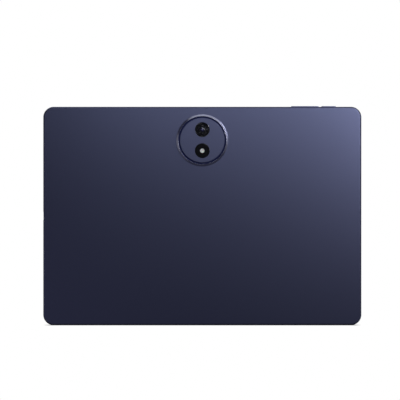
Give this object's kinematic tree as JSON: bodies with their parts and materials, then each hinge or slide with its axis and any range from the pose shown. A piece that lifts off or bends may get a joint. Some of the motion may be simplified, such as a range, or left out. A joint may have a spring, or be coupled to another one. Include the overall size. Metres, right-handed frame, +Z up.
{
  "type": "tablet computer",
  "caption": "Thin landscape tablet computer in dark navy metal, with a round rear camera island, side loudspeakers, and volume and power keys on its upper edge.",
  "frame": {"origin": "middle of the tablet's depth and length at its lower long edge, as it stands upright in landscape", "axes": "+X to the right as seen from the screen, -Y out of the screen, +Y out of the rear face with the camera island, +Z up to the long edge that carries the keys"},
  "size_m": [0.2896, 0.0088, 0.1995],
  "materials": {
    "anodised_metal": "fine blasted and anodised, dark navy, satin",
    "island_metal": "turned and anodised, dark navy, semi-gloss bevels",
    "navy_plastic": "moulded, matched to the housing",
    "screen_glass": "polished, black printed border",
    "window_glass": "polished, black printed back",
    "lens_glass": "coated, violet and blue reflections",
    "black_plastic": "moulded, fine texture",
    "black_metal": "black, satin",
    "adhesive": "black foam tape",
    "panel_glass": "polished, dark when off",
    "reflector": "white tray and light guide",
    "circuit_board": "green solder mask",
    "ribbon": "amber polyimide",
    "sheet_steel": "stamped, fine grain",
    "copper": "rolled copper, dull",
    "battery_pouch": "laminate pouch, dark grey, slightly wrinkled",
    "ceramic": "pale, lightly glossy",
    "phosphor": "translucent yellow",
    "connector_plastic": "moulded, dark",
    "rubber": "soft, matt",
    "gold_contact": "gold plated, polished",
    "magnet_metal": "nickel plated"
  },
  "bodies": {
    "tablet_body": {"rear_housing": "anodised_metal", "antenna_windows": "navy_plastic", "speaker_meshes": "black_metal", "mid_frame": "black_plastic", "glass_adhesive": "adhesive", "cover_glass": "screen_glass", "lcd_panel": "panel_glass", "backlight_unit": "reflector", "display_driver_board": "circuit_board", "display_flex": "ribbon", "camera_ring": "island_metal", "camera_plate": "anodised_metal", "camera_window": "window_glass", "flash_window": "window_glass", "focus_motor_case": "sheet_steel", "camera_board": "circuit_board", "image_sensor": "lens_glass", "camera_flex": "ribbon", "flash_board": "ceramic", "flash_led": "phosphor", "front_camera": "black_plastic", "light_sensor": "black_plastic", "key_bracket": "sheet_steel", "rocker_pin": "sheet_steel", "key_flex": "ribbon", "key_switches": "connector_plastic", "main_board": "circuit_board", "processor_shield": "sheet_steel", "radio_shield": "sheet_steel", "heat_spreader": "copper", "board_connectors": "connector_plastic", "battery_left": "battery_pouch", "battery_right": "battery_pouch", "battery_board": "circuit_board", "battery_flex": "ribbon", "usb_connector": "sheet_steel", "usb_tongue": "connector_plastic", "usb_board": "circuit_board", "usb_flex": "ribbon", "speaker_upper_left": "black_plastic", "speaker_lower_left": "black_plastic", "speaker_upper_right": "black_plastic", "speaker_lower_right": "black_plastic", "vibration_motor_case": "sheet_steel", "vibration_motor_cover": "sheet_steel", "microphones": "rubber", "wifi_antennas": "copper", "antenna_cables": "rubber", "keyboard_contacts": "gold_contact", "contact_block": "black_plastic", "magnets": "magnet_metal", "screws": "sheet_steel"},
    "volume_rocker": {"volume_rocker": "anodised_metal"},
    "volume_up_plunger": {"volume_up_plunger": "sheet_steel"},
    "volume_down_plunger": {"volume_down_plunger": "sheet_steel"},
    "power_button": {"power_button": "anodised_metal"},
    "power_plunger": {"power_plunger": "sheet_steel"},
    "lens_barrel": {"lens_barrel": "black_plastic", "lens_elements": "lens_glass"},
    "vibration_weight": {"vibration_weight": "black_metal"}
  },
  "joints": [
    {"name": "volume_down_press", "type": "slide", "parent": "tablet_body", "child": "volume_down_plunger", "axis": [0, 0, -1], "range_m": [-0.0002, 0.0002], "stiffness_N_per_m": 8500},
    {"name": "volume_up_press", "type": "slide", "parent": "tablet_body", "child": "volume_up_plunger", "axis": [0, 0, -1], "range_m": [-0.0002, 0.0002]},
    {"name": "volume_rocker_tilt", "type": "hinge", "parent": "tablet_body", "child": "volume_rocker", "pos_m": [-0.0935, -0.0006, 0.1953], "axis": [0, 1, 0], "range_deg": [-1.5, 1.5]},
    {"name": "power_button_press", "type": "slide", "parent": "tablet_body", "child": "power_button", "axis": [0, 0, -1], "range_m": [0, 0.0003], "stiffness_N_per_m": 1500, "springref_m": -0.0008},
    {"name": "power_switch_press", "type": "slide", "parent": "tablet_body", "child": "power_plunger", "axis": [0, 0, -1], "range_m": [0, 0.0003]},
    {"name": "lens_focus", "type": "slide", "parent": "tablet_body", "child": "lens_barrel", "axis": [0, 1, 0], "range_m": [0, 0.00035], "stiffness_N_per_m": 80, "springref_m": -0.0002},
    {"name": "vibration_slide", "type": "slide", "parent": "tablet_body", "child": "vibration_weight", "axis": [1, 0, 0], "range_m": [-0.0005, 0.0005], "stiffness_N_per_m": 1000}
  ],
  "couplings": [
    {"joint": "volume_up_press", "follows": "volume_down_press", "ratio": -1},
    {"joint": "volume_rocker_tilt", "follows": "volume_down_press", "rad_per_m": 125},
    {"joint": "power_switch_press", "follows": "power_button_press", "ratio": 1}
  ]
}
